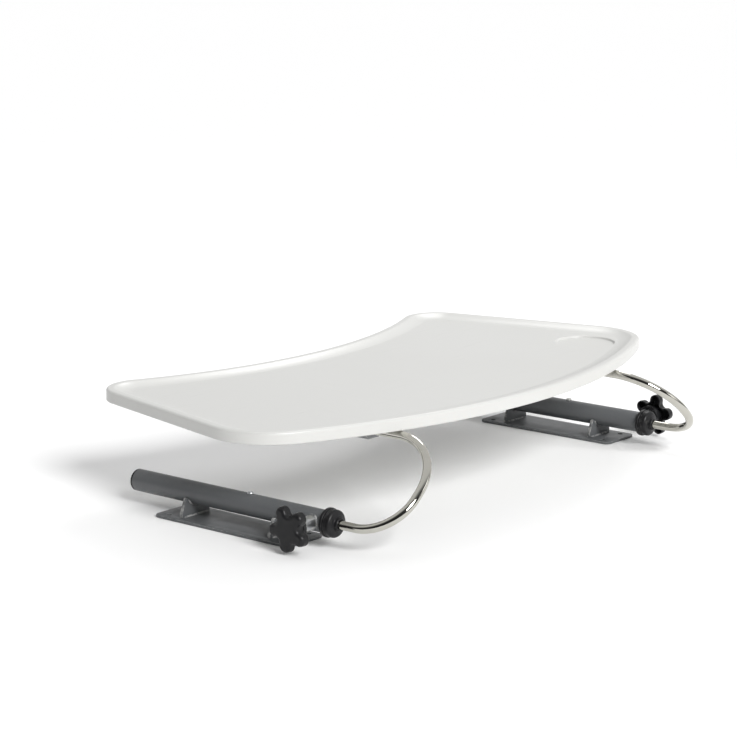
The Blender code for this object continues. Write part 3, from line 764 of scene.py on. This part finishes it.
def make_tray():
    bm = bmesh.new()
    upper, lower = two_faces(bm, tray_outline(bm, RIM_FOOT + RIM_FOOT_ROUND), SPLIT)
    follow(bm, upper, rim_top_stations())
    follow(bm, lower, rim_under_stations())

    cup_x, cup_y = CUP_CENTRE
    cup = level_disc(bm, (cup_x, cup_y, upper.verts[0].co.z), CUP_LIP, 128)
    pierce(bm, upper, [list(cup.edges)])
    cup_recess(bm, cup)

    under = lower.verts[0].co.z
    boss = level_disc(bm, (cup_x, cup_y, under), CUP_LIP + 4.4 * MM, 96)
    pad_size, pad_corner = (63.5 * MM, 31.5 * MM), 5 * MM
    pads = []
    for side, sign, place, y in saddle_places():
        x = sign * SADDLE_X
        pads.append((level_pad(bm, (x, y, under), pad_size, pad_corner), x, y))
    pierce(bm, lower, [list(boss.edges)] + [list(pad.edges) for pad, x, y in pads])
    follow(bm, boss, [(0, 0), (1 * MM, -0.2 * MM), (3 * MM, -2.2 * MM), (4 * MM, -2.85 * MM),
                      (6 * MM, -3 * MM)])
    for pad, x, y in pads:
        pad_and_holes(bm, pad, x, y)
    stand_for("tray_top", to_mesh(bm, "tray_top"))


# ---------------------------------------------------------------- rods

def extend(bm, ring, matrix, run, distance):
    """Copy a ring of edges on by matrix, joined to it by new walls, and note its distance along the bar."""
    made = bmesh.ops.extrude_edge_only(bm, edges=ring)["geom"]
    verts = new_verts(made)
    edges = [item for item in made if isinstance(item, bmesh.types.BMEdge)
             and all(vert in verts for vert in item.verts)]
    bmesh.ops.transform(bm, matrix=matrix, verts=verts)
    for vert in verts:
        vert[run].z = distance
    return edges


def about(centre, axis, angle):
    return Matrix.Translation(centre) @ Matrix.Rotation(angle, 4, axis) @ Matrix.Translation(-centre)


def shrink(centre, factor):
    return Matrix.Translation(centre) @ Matrix.Scale(factor, 4) @ Matrix.Translation(-centre)


def make_rod(side, sign):
    """One bar: along the socket, round two bends in a tilted plane, and back under the tray."""
    bm = bmesh.new()
    run = bm.verts.layers.float_vector.new("run")
    start = socket_point(sign, LOWER_END_Y)
    chamfer = 0.7 * MM
    stand = facing_front(start)
    ring = bmesh.ops.create_circle(bm, cap_ends=False, segments=64, radius=ROD_RADIUS - chamfer)["verts"]
    for vert in ring:
        vert[run] = (vert.co.x, vert.co.y, 0)
    bmesh.ops.transform(bm, matrix=stand, verts=ring)
    edges = bm.edges[:]
    bmesh.ops.edgeloop_fill(bm, edges=edges)
    widen = ROD_RADIUS / (ROD_RADIUS - chamfer)
    forwards = Vector((0, -1, 0))
    edges = extend(bm, edges, Matrix.Translation(forwards * chamfer) @ shrink(start, widen), run, chamfer)
    distance = LOWER_END_Y - BEND_START_Y
    edges = extend(bm, edges, Matrix.Translation(forwards * (distance - chamfer)), run, distance)

    reach = Vector((-sign * math.cos(BEND_TILT), 0, math.sin(BEND_TILT)))
    axis = forwards.cross(reach)
    steps = 30
    turn = math.pi / 2 / steps
    centre = socket_point(sign, BEND_START_Y) + reach * LOWER_BEND
    for step in range(steps):
        distance += LOWER_BEND * turn
        edges = extend(bm, edges, about(centre, axis, turn), run, distance)
    distance += BEND_LINK
    edges = extend(bm, edges, Matrix.Translation(reach * BEND_LINK), run, distance)
    centre += reach * BEND_LINK + Vector((0, UPPER_BEND - LOWER_BEND, 0))
    for step in range(steps):
        distance += UPPER_BEND * turn
        edges = extend(bm, edges, about(centre, axis, turn), run, distance)
    last_run = ROD_END_Y - centre.y
    end = centre + reach * UPPER_BEND + Vector((0, last_run, 0))
    edges = extend(bm, edges, Matrix.Translation((0, last_run - chamfer, 0)), run, distance + last_run)
    narrow = shrink(end - Vector((0, chamfer, 0)), 1 / widen)
    edges = extend(bm, edges, Matrix.Translation((0, chamfer, 0)) @ narrow, run, distance + last_run)
    bmesh.ops.edgeloop_fill(bm, edges=edges)
    stand_for(f"rod_{side}", to_mesh(bm, f"rod_{side}"))


def make_rod_cap(side, sign):
    """Dipped vinyl cap on the rod's rear end, with a rolled mouth and a slumped end."""
    inner, outer, sleeve = ROD_RADIUS + GAP, 6.2 * MM, 12 * MM
    end = 1.8 * MM
    profile = [(0, 0), (inner, 0), (inner, sleeve)]
    profile += arc(((inner + outer) / 2, sleeve - 0.45 * MM), (outer - inner) / 2, 90, 0, 4)[1:]
    profile += [(outer - 0.25 * MM, sleeve - 1.8 * MM), (outer - 0.1 * MM, 3 * MM)]
    profile += arc((outer - 1.4 * MM, 1.4 * MM - end), 1.4 * MM, 0, -90, 6)
    profile += [(0, -end)]
    centre = Vector((sign * SADDLE_X, ROD_END_Y + GAP, SADDLE_TOP - ROD_RADIUS))
    name = f"rod_end_cap_{side}"
    stand_for(name, placed(turned(profile), facing_front(centre), name))


# ---------------------------------------------------------------- saddles and screws

def cross_recess(width, depth, top):
    """The two crossed tapered slots of a screw drive, cut down from a head at height top."""
    tools = []
    for turn in (0, math.pi / 2):
        bm = bmesh.new()
        bmesh.ops.create_cone(bm, cap_ends=True, segments=4, radius1=width * 0.35, radius2=width * 0.72,
                              depth=depth * 1.2, matrix=Matrix.Translation((0, 0, -depth * 0.4)))
        flat = Matrix.Diagonal((1, 0.24, 1, 1)) @ Matrix.Rotation(math.pi / 4, 4, "Z")
        tools.append(placed(bm, Matrix.Translation((0, 0, top)) @ Matrix.Rotation(turn, 4, "Z") @ flat))
    return tools


def saddle_screw_mesh():
    """Countersunk self-tapping screw, head at Z = 0 and point upwards."""
    head, shank, neck, length = 4.5 * MM, 2.1 * MM, 3.2 * MM, 11.5 * MM
    profile = [(0, neck + 0.4 * MM), (1.55 * MM, neck + 0.4 * MM), (1.6 * MM, neck),
               (shank - 0.2 * MM, neck - 0.5 * MM), (head, 0.35 * MM), (head - 0.1 * MM, 0.08 * MM),
               (head - 0.6 * MM, 0), (0, 0)]
    solid = to_mesh(turned(profile, steps=48), "head")
    upside_down = Matrix.Rotation(math.pi, 4, "X")
    screw_up = Matrix.Translation((0, 0, length)) @ upside_down
    thread = placed(threaded(shank, 1.5 * MM, 1.35 * MM, 0, length - neck), screw_up, "thread")
    drive = [placed_copy(tool, upside_down) for tool in cross_recess(4.4 * MM, 1.9 * MM, 0)]
    return joined("saddle_screw", [carve(solid, drive), thread])


def placed_copy(mesh, matrix):
    """A copy of a mesh, moved by matrix."""
    copy = mesh.copy()
    copy.transform(matrix)
    return copy


def joined(name, meshes):
    """Several closed meshes as one."""
    bm = bmesh.new()
    for mesh in meshes:
        bm.from_mesh(mesh)
    whole = bpy.data.meshes.new(name)
    bm.to_mesh(whole)
    bm.free()
    whole.shade_smooth()
    whole.set_sharp_from_angle(angle=math.radians(CREASE))
    return whole


def saddle_body():
    """A moulded clip seen along the rod: two flanges, a hump under the channel, softened all round."""
    half, flange, hump = 28 * MM, 7 * MM, 14 * MM
    channel = ROD_RADIUS + GAP
    outline = arc((0, -ROD_RADIUS), channel, 180, 360, 20)
    outline += [(channel, 0), (half - 0.01 * MM, 0)]
    outline += arc((half - 1.6 * MM, 1.6 * MM - flange), 1.6 * MM, 0, -90, 5)
    outline += arc((16 * MM, -flange - 2 * MM), 2 * MM, 90, 160, 5)
    outline += arc((8 * MM, 2 * MM - hump), 2 * MM, -25, -90, 5)
    mirrored = [(-x, y) for x, y in outline[:20:-1]]
    return slab(outline + mirrored, 24 * MM, 0.7 * MM)


def make_saddles():
    """Four saddles: each is drilled and countersunk for its two screws."""
    screw = saddle_screw_mesh()
    hole, head, hole_top = 2.5 * MM, 5.1 * MM, -2.6 * MM
    for side, sign, place, y in saddle_places():
        centre = Vector((sign * SADDLE_X, y, SADDLE_TOP))
        drills = []
        for way in (-1, 1):
            at = centre + Vector((way * SADDLE_SCREW_SPREAD, 0, 0))
            drills.append(placed(bar(hole, 20 * MM), Matrix.Translation(at - Vector((0, 0, 10 * MM)))))
            sink = turned([(0, 0.9 * MM), (head, 0.9 * MM), (head, -0.1 * MM), (hole, hole_top),
                           (0, hole_top)], steps=48)
            turn_up = Matrix.Rotation(math.pi, 4, "X")
            drills.append(placed(sink, Matrix.Translation(at - Vector((0, 0, 7 * MM))) @ turn_up))
        body = placed(saddle_body(), facing_front(centre))
        name = f"rod_saddle_{side}_{place}"
        stand_for(name, carve(body, drills))
        for way, label in ((-1, "a"), (1, "b")):
            at = centre + Vector((way * SADDLE_SCREW_SPREAD, 0, -6.9 * MM))
            turn = Matrix.Rotation(math.radians(35 * way + 50 * sign) + y * 40, 4, "Z")
            fitted = placed_copy(screw, Matrix.Translation(at) @ turn)
            stand_for(f"saddle_screw_{side}_{place}_{label}", fitted)


# ---------------------------------------------------------------- sockets

def make_front_bush(side, sign):
    """Flanged guide on the armrest's face: flange, two ring lines, a domed cap and a nose round the rod."""
    flange, dome, nose = 16.2 * MM, 15.2 * MM, 7.4 * MM
    line = 0.45 * MM
    profile = [(BUSH_BORE, -BUSH_LENGTH), (BUSH_BORE, 17.4 * MM), (BUSH_BORE + 0.5 * MM, 18 * MM)]
    profile += arc((nose - 1.6 * MM, 16.4 * MM), 1.6 * MM, 90, 0, 7)
    profile += arc((nose + 1 * MM, 14.6 * MM), 1 * MM, 180, 262, 5)
    profile += arc((dome - 3.3 * MM, 9.7 * MM), 3.3 * MM, 76, 4, 12)
    profile += [(dome, 9 * MM), (dome, 7 * MM), (dome - line, 6.8 * MM), (dome - line, 6.2 * MM),
                (dome, 6 * MM), (dome, 4.4 * MM), (dome - line, 4.1 * MM), (dome - line, 3.6 * MM)]
    profile += arc((flange - 0.7 * MM, 2.9 * MM), 0.7 * MM, 90, 0, 4)
    profile += arc((flange - 0.5 * MM, 0.5 * MM), 0.5 * MM, 0, -90, 4)
    profile += [(BUSH_BODY, 0), (BUSH_BODY, -BUSH_LENGTH + 1 * MM), (BUSH_BODY - 0.8 * MM, -BUSH_LENGTH)]
    name = f"front_bush_{side}"
    body = placed(turned(profile[::-1], steps=128), facing_front(socket_point(sign, ARM_FACE_Y)))
    stand_for(name, carve(body, [stud_drill(sign)]))


def stud_drill(sign):
    return placed(bar(STUD_HOLE, 24 * MM), clamp_axis(sign))


def bush_screw_point(side, sign):
    return socket_point(sign, middle(f"rear_bush_screw_{side}").y)


def make_socket_tube(side, sign):
    inner, outer, length = TUBE_BORE, TUBE_RADIUS, TUBE_END_Y - ARM_FACE_Y - GAP
    profile = [(inner, 0), (outer, 0), (outer, -length), (inner, -length)]
    body = placed(turned(profile, 0.3 * MM, 128), facing_front(socket_point(sign, ARM_FACE_Y + GAP)))
    screw_drill = placed(bar(2 * MM, 16 * MM), Matrix.Translation(bush_screw_point(side, sign)))
    stand_for(f"socket_tube_{side}", carve(body, [stud_drill(sign), screw_drill]))


def make_rear_bush(side, sign):
    """Plain guide deep in the tube, with lead-ins and a drilled pilot for its screw."""
    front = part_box(f"rear_bush_{side}")[0].y
    lead = 1 * MM
    profile = [(BUSH_BORE + 0.7 * MM, 0), (BUSH_BODY - 0.6 * MM, 0), (BUSH_BODY, -lead),
               (BUSH_BODY, lead - BUSH_LENGTH), (BUSH_BODY - 0.6 * MM, -BUSH_LENGTH),
               (BUSH_BORE + 0.7 * MM, -BUSH_LENGTH), (BUSH_BORE, lead - BUSH_LENGTH), (BUSH_BORE, -lead)]
    body = placed(turned(profile, 0.15 * MM), facing_front(socket_point(sign, front)))
    pilot = placed(bar(2 * MM, 16 * MM), Matrix.Translation(bush_screw_point(side, sign)))
    stand_for(f"rear_bush_{side}", carve(body, [pilot]))


def make_bush_screw(side, sign):
    """Pan-head screw through the tube's top into the rear bush."""
    seat = TUBE_RADIUS + GAP
    head, thread, root = 3.6 * MM, 1.7 * MM, 1.3 * MM
    top, neck = seat + 2.2 * MM, seat - 1 * MM
    profile = [(0, top)]
    profile += arc((head - 1.8 * MM, seat + 0.4 * MM), 1.8 * MM, 90, 0, 8)
    profile += [(head, seat + 0.15 * MM), (head - 0.15 * MM, seat), (root, seat), (root, neck), (0, neck)]
    solid = to_mesh(turned(profile, steps=48), "head")
    drive = cross_recess(3.8 * MM, 1.5 * MM, top)
    shaft = to_mesh(threaded(thread, root, 1.2 * MM, 7 * MM, seat), "shaft")
    whole = joined(f"rear_bush_screw_{side}", [carve(solid, drive), shaft])
    whole.transform(Matrix.Translation(bush_screw_point(side, sign)) @ Matrix.Rotation(sign * 0.5, 4, "Z"))
    stand_for(f"rear_bush_screw_{side}", whole)


def make_tube_plug(side, sign):
    """Push-in plug: a shallow domed cap and a ribbed insert."""
    cap, insert = 3 * MM, 14 * MM
    profile = [(0, insert), (BUSH_BODY - 1.6 * MM, insert), (BUSH_BODY - 0.9 * MM, insert - 1 * MM)]
    for rib in range(4):
        top = insert - (2.4 + 2.8 * rib) * MM
        profile += [(BUSH_BODY - 0.9 * MM, top), (BUSH_BODY, top - 0.5 * MM), (BUSH_BODY, top - 1 * MM),
                    (BUSH_BODY - 0.9 * MM, top - 1.4 * MM)]
    profile += [(BUSH_BODY - 0.9 * MM, 0), (TUBE_RADIUS - 0.2 * MM, 0)]
    profile += arc((TUBE_RADIUS - 1.6 * MM, -1.2 * MM), 1.6 * MM, 10, -80, 7)
    profile += [(TUBE_RADIUS - 4 * MM, -cap + 0.05 * MM), (0, -cap)]
    name = f"tube_plug_{side}"
    stand_for(name, placed(turned(profile), facing_front(socket_point(sign, TUBE_END_Y + GAP)), name, 30))


def make_plate(side, sign):
    """Mounting plate with rounded corners, four holes and rolled edges."""
    low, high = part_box(f"mounting_plate_{side}")
    size = high - low
    centre = (low + high) / 2
    corner = 8 * MM
    outline = []
    for quarter, (sx, sy) in enumerate(((1, 1), (-1, 1), (-1, -1), (1, -1))):
        at = (sx * (size.x / 2 - corner), sy * (size.y / 2 - corner))
        outline += arc(at, corner, quarter * 90, quarter * 90 + 90, 12)
    across, along, hole = 20 * MM, 85 * MM, 3.25 * MM
    holes = [(sx * across, sy * along, hole) for sx in (-1, 1) for sy in (-1, 1)]
    name = f"mounting_plate_{side}"
    stand_for(name, placed(slab(outline, size.z, 0.35 * MM, holes), Matrix.Translation(centre), name))


def make_cradles(side, sign):
    """Upright webs hollowed to the tube."""
    foot, shoulder = 22 * MM, 15 * MM
    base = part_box(f"tube_cradle_{side}_front")[0].z - SOCKET_Z
    top = -4 * MM
    seat = TUBE_RADIUS + GAP
    dip = math.degrees(math.asin(-top / seat))
    outline = [(-foot, base), (foot, base), (foot, base + 4 * MM), (shoulder, top)]
    outline += arc((0, 0), seat, -dip, dip - 180, 32)
    outline += [(-shoulder, top), (-foot, base + 4 * MM)]
    for place in ("front", "rear"):
        name = f"tube_cradle_{side}_{place}"
        at = socket_point(sign, middle(name).y)
        stand_for(name, placed(slab(outline, 4 * MM, 0.35 * MM), facing_front(at), name))


def weld_bead(path, radius, seed):
    """A rippled bead of weld metal along a path of points, closed at both ends."""
    bm = bmesh.new()
    previous = None
    for i, point in enumerate(path):
        ahead = path[min(i + 1, len(path) - 1)] - path[max(i - 1, 0)]
        end = i in (0, len(path) - 1)
        swell = 0.35 if end else 1 + 0.13 * math.cos(i * 2.1 + seed) + 0.06 * math.cos(i * 0.73 + 2 * seed)
        stand = Matrix.Translation(point) @ ahead.to_track_quat("Z", "Y").to_matrix().to_4x4()
        ring = bmesh.ops.create_circle(bm, cap_ends=end, segments=10, radius=radius * swell, matrix=stand)
        edges = list({edge for vert in ring["verts"] for edge in vert.link_edges})
        if previous:
            bmesh.ops.bridge_loops(bm, edges=previous + edges)
        previous = edges
    return to_mesh(bm, "bead", 60)


def make_welds(side, sign):
    """Beads between plate and cradles, cradles and tube, and round the clamp boss."""
    beads = []
    plate_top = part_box(f"mounting_plate_{side}")[1].z
    off_web, lift = 2.3 * MM, 0.35 * MM
    for place in ("front", "rear"):
        y = middle(f"tube_cradle_{side}_{place}").y
        for way in (-1, 1):
            face_y = y + way * off_web
            run = [Vector((sign * SOCKET_X + x * MM, face_y, plate_top + lift)) for x in range(-19, 20)]
            beads.append(weld_bead(run, 1.25 * MM, way + y * 9))
            hug = arc((sign * SOCKET_X, SOCKET_Z), TUBE_RADIUS + lift, 205, 335, 34)
            beads.append(weld_bead([Vector((x, face_y, z)) for x, z in hug], 1.1 * MM, 2 * way + y * 7))
    ring = []
    round_boss, steps = 8.1 * MM, 72
    for step in range(steps):
        angle = step * 2 * math.pi / steps
        y, z = round_boss * math.cos(angle), round_boss * math.sin(angle)
        out = math.sqrt((TUBE_RADIUS + 0.2 * MM) ** 2 - z ** 2)
        ring.append(socket_point(sign, KNOB_Y) + Vector((sign * out, y, z)))
    beads.append(weld_bead(ring + ring[:2], 1.15 * MM, 1.0))
    hand_over(joined(f"weld_beads_{side}", beads), f"weld_beads_{side}", "coated_steel", "arm_sockets")


# ---------------------------------------------------------------- clamps and knobs

def make_boss(side, sign):
    """Threaded boss, hollowed to the tube at its root and chamfered at its mouth."""
    end, root = 38 * MM, 9 * MM
    outer, chamfer = 8 * MM, 0.7 * MM
    profile = [(STUD_HOLE, root), (outer, root), (outer, end - chamfer), (outer - chamfer, end),
               (STUD_HOLE + chamfer, end), (STUD_HOLE, end - chamfer)]
    body = placed(turned(profile[::-1], steps=64), clamp_axis(sign))
    behind = socket_point(sign, KNOB_Y) + Vector((0, 30 * MM, 0))
    round_tube = placed(bar(TUBE_RADIUS + GAP, 60 * MM, 96), facing_front(behind))
    stand_for(f"clamp_boss_{side}", carve(body, [round_tube]))


def make_collar(side, sign):
    """Trim ring on the armrest's outer skin."""
    start, end, inner, outer = 34 * MM, 39 * MM, 8.3 * MM, 13 * MM
    groove = end - 0.3 * MM
    profile = [(inner, start), (inner, groove), (inner + 0.3 * MM, end), (inner + 1.6 * MM, end),
               (inner + 1.8 * MM, groove), (inner + 2.2 * MM, groove), (inner + 2.4 * MM, end)]
    profile += arc((outer - 1.3 * MM, end - 1.3 * MM), 1.3 * MM, 90, 0, 6)
    profile += [(outer, start + 0.4 * MM), (outer - 0.4 * MM, start)]
    name = f"knob_collar_{side}"
    stand_for(name, placed(turned(profile[::-1]), clamp_axis(sign), name, 30))


def make_pressure_pad(side, sign):
    """Brass disc between the stud's end and the rod."""
    start, end, radius = 5.3 * MM, 8.3 * MM, 3.4 * MM
    chamfer = 0.3 * MM
    profile = [(0, end - 0.35 * MM), (1.4 * MM, end - 0.25 * MM), (1.9 * MM, end), (radius - chamfer, end),
               (radius, end - chamfer), (radius, end - 1.2 * MM), (radius - 0.2 * MM, end - 1.35 * MM),
               (radius, end - 1.5 * MM), (radius, start + chamfer), (radius - chamfer, start), (0, start)]
    name = f"pressure_pad_{side}"
    stand_for(name, placed(turned(profile), clamp_axis(sign), name, 25))


def make_stud(side, sign):
    """M8 stud: a dog point, a thread, and a plain end moulded into the knob."""
    start, thread_end, end = 8.6 * MM, 41 * MM, 50 * MM
    root, dog, overlap = 3.4 * MM, 2.9 * MM, 0.2 * MM
    thread_start = start + 2.5 * MM
    thread = to_mesh(threaded(STUD_RADIUS, root, 1.25 * MM, thread_start, thread_end), "thread")
    point = [(0, thread_start + overlap), (dog, thread_start + overlap), (dog, start + 0.5 * MM),
             (dog - 0.5 * MM, start), (0, start)]
    shank = [(0, end), (STUD_RADIUS - 0.4 * MM, end), (STUD_RADIUS, end - 0.4 * MM),
             (STUD_RADIUS, thread_end + 0.6 * MM), (root, thread_end - overlap), (0, thread_end - overlap)]
    ends = [to_mesh(turned(profile, steps=48), "end") for profile in (point, shank)]
    whole = joined(f"knob_stud_{side}", [ends[0], thread, ends[1]])
    whole.transform(clamp_axis(sign))
    stand_for(f"knob_stud_{side}", whole)


def star_outline():
    """Round lobes joined by round valleys, each arc tangent to the next."""
    half_pitch = math.pi / LOBES
    inset = LOBE_RADIUS - VALLEY_REACH
    valley_centre = (LOBE_CENTRE ** 2 - inset ** 2) / (2 * (LOBE_CENTRE * math.cos(half_pitch) + inset))
    valley_radius = valley_centre - VALLEY_REACH
    rise, across = valley_centre * math.sin(half_pitch), valley_centre * math.cos(half_pitch) - LOBE_CENTRE
    lean = math.degrees(math.atan2(rise, across))
    points = []
    for lobe in range(LOBES):
        turn = 360 / LOBES * lobe
        aim = math.radians(turn)
        points += arc((LOBE_CENTRE * math.cos(aim), LOBE_CENTRE * math.sin(aim)), LOBE_RADIUS, turn - lean,
                      turn + lean, 22)
        middle_turn = turn + 180 / LOBES
        aim = math.radians(middle_turn)
        sweep = 180 + lean - 180 / LOBES
        points += arc((valley_centre * math.cos(aim), valley_centre * math.sin(aim)), valley_radius,
                      middle_turn + sweep, middle_turn + 360 - sweep, 8)[1:-1]
    return points


def make_knob(side, sign):
    """Five-lobed star: rounded face, hollow back, and a bored hub that stands out towards the armrest."""
    back, front, hub_end, bore_end = 43.5 * MM, 55 * MM, 40 * MM, 50.3 * MM
    cavity = 51.2 * MM
    bm = bmesh.new()
    star = bm.faces.new([bm.verts.new((x, y, back + 1 * MM)) for x, y in star_outline()])
    upper, lower = two_faces(bm, star, SPLIT)
    crown = 4.2 * MM
    face = [(0, back + 1 * MM + SPLIT)]
    face += arc((crown + 0.35 * MM, front - crown), crown, 180, 90, 14)
    follow(bm, upper, face + [(crown + 0.8 * MM, front + 0.001 * MM)])
    for vert in bm.verts:
        lobe = max(0, vert.co.xy.length - 11 * MM) / (15 * MM)
        height = max(0, vert.co.z - back - 1.2 * MM) / (front - back)
        vert.co.z -= 1.8 * MM * lobe ** 1.6 * height
    heel = arc((0.8 * MM, back + 0.8 * MM), 0.8 * MM, 180, 270, 4)
    follow(bm, lower, [(0, back + 1 * MM)] + heel[1:] + [
        (1.35 * MM, back + 0.05 * MM), (1.6 * MM, back + 0.4 * MM), (1.75 * MM, cavity - 0.5 * MM),
        (2.1 * MM, cavity)])
    hub = level_disc(bm, (0, 0, cavity), 10.1 * MM, 64)
    pierce(bm, lower, [list(hub.edges)])
    follow(bm, hub, [(0, cavity), (-0.3 * MM, hub_end + 1 * MM), (-0.2 * MM, hub_end + 0.5 * MM),
                     (0.35 * MM, hub_end)])
    bore = level_disc(bm, (0, 0, hub_end), STUD_HOLE, 48)
    pierce(bm, hub, [list(bore.edges)])
    follow(bm, bore, [(0, hub_end), (0.01 * MM, bore_end)])
    spin = math.radians(90) + sign * FIRST_LOBE[side]
    name = f"knob_grip_{side}"
    stand_for(name, placed(bm, clamp_axis(sign, spin), name, 40))


# ---------------------------------------------------------------- assembly

make_camera()
make_studio()
make_tray()
make_saddles()
for side_name, side_sign in SIDES.items():
    for make_piece in (make_rod, make_rod_cap, make_front_bush, make_socket_tube, make_rear_bush,
                       make_bush_screw, make_tube_plug, make_plate, make_cradles, make_welds, make_boss,
                       make_collar, make_pressure_pad, make_stud, make_knob):
        make_piece(side_name, side_sign)
